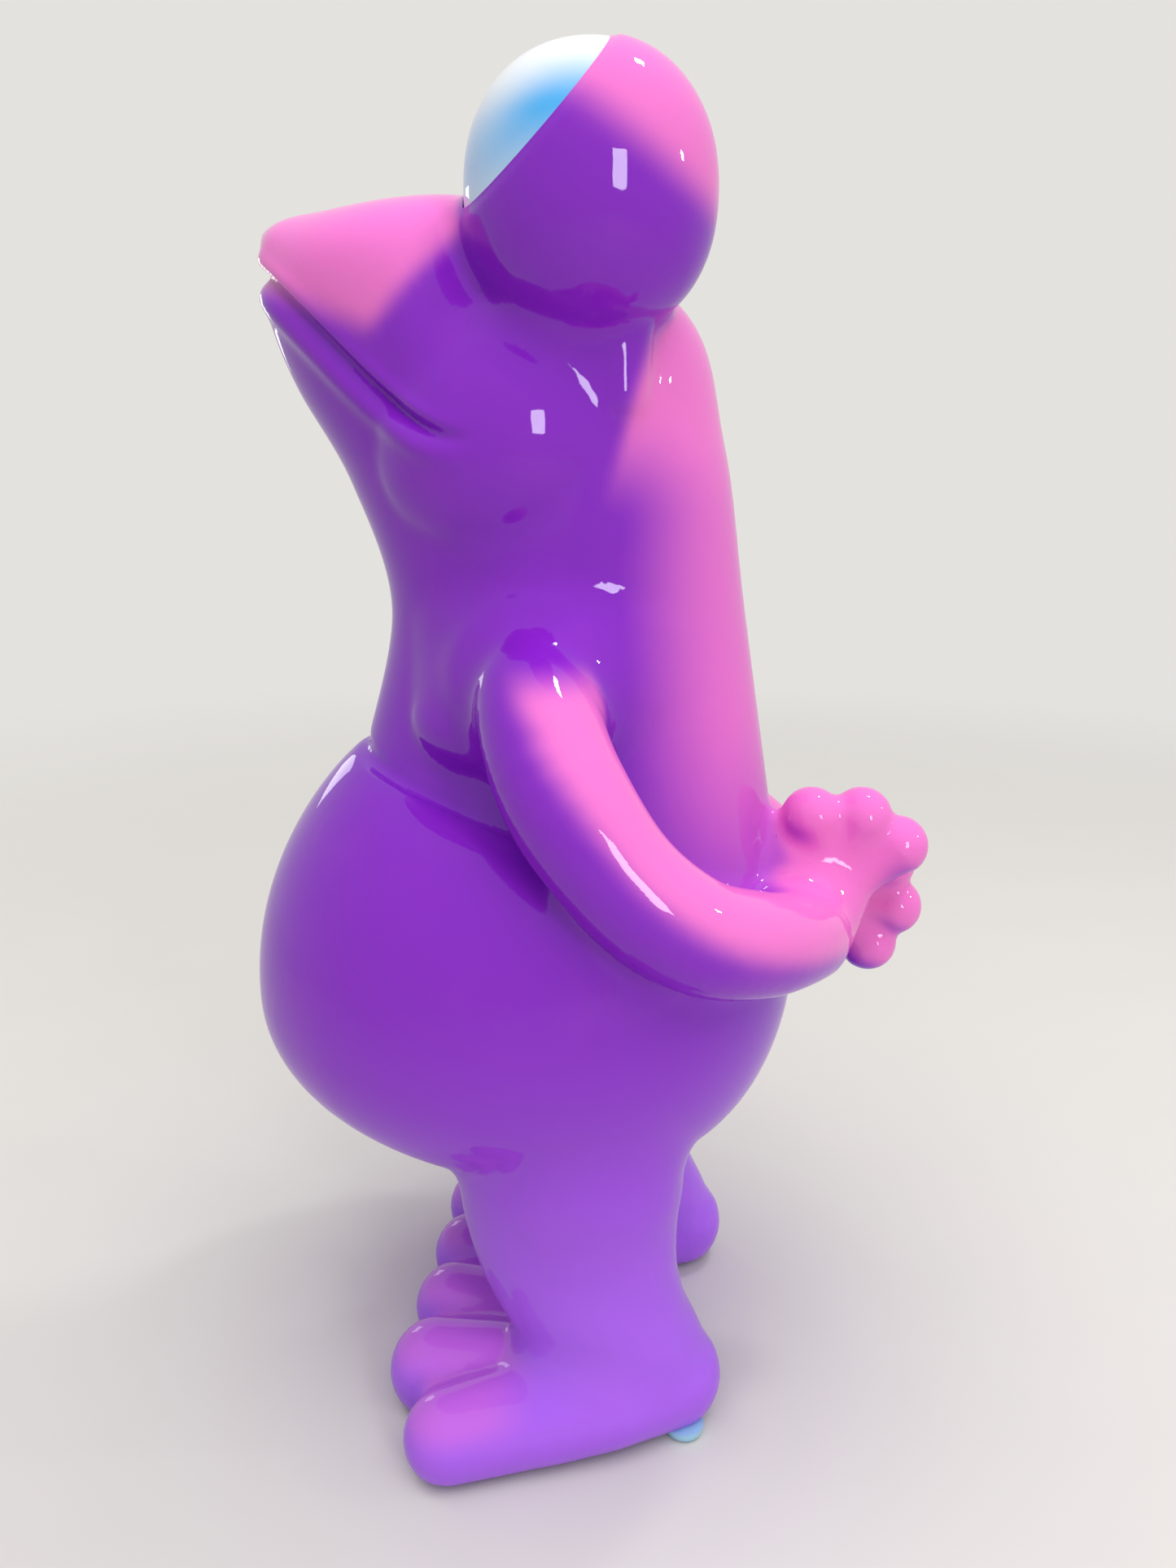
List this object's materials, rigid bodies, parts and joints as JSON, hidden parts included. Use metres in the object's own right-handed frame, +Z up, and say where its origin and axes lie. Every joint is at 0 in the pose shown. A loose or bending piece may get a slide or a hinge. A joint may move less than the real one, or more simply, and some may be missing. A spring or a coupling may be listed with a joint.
{
  "type": "vinyl art toy",
  "caption": "Upright cartoon frog figure with bulging eyes, a wide mouth, a pot belly and hands held together behind its back, standing on clear bumpers.",
  "frame": {"origin": "middle of the footprint on the floor, between the feet", "axes": "+Z up, the frog faces -Y, its left side is +X"},
  "size_m": [0.189, 0.2198, 0.4059],
  "materials": {
    "lacquer": "high-gloss lacquer over moulded vinyl, purple with pink fades",
    "eye_white": "gloss white with a dark pupil",
    "clear_rubber": "clear soft bumper"
  },
  "bodies": {
    "root": {"head_shell": "lacquer", "chest_shell": "lacquer", "belly_shell": "lacquer", "left_eyelid": "lacquer", "right_eyelid": "lacquer", "left_eye": "eye_white", "right_eye": "eye_white", "left_arm": "lacquer", "right_arm": "lacquer", "left_hand": "lacquer", "right_hand": "lacquer", "left_leg": "lacquer", "right_leg": "lacquer", "bumper_feet": "clear_rubber"}
  },
  "joints": []
}
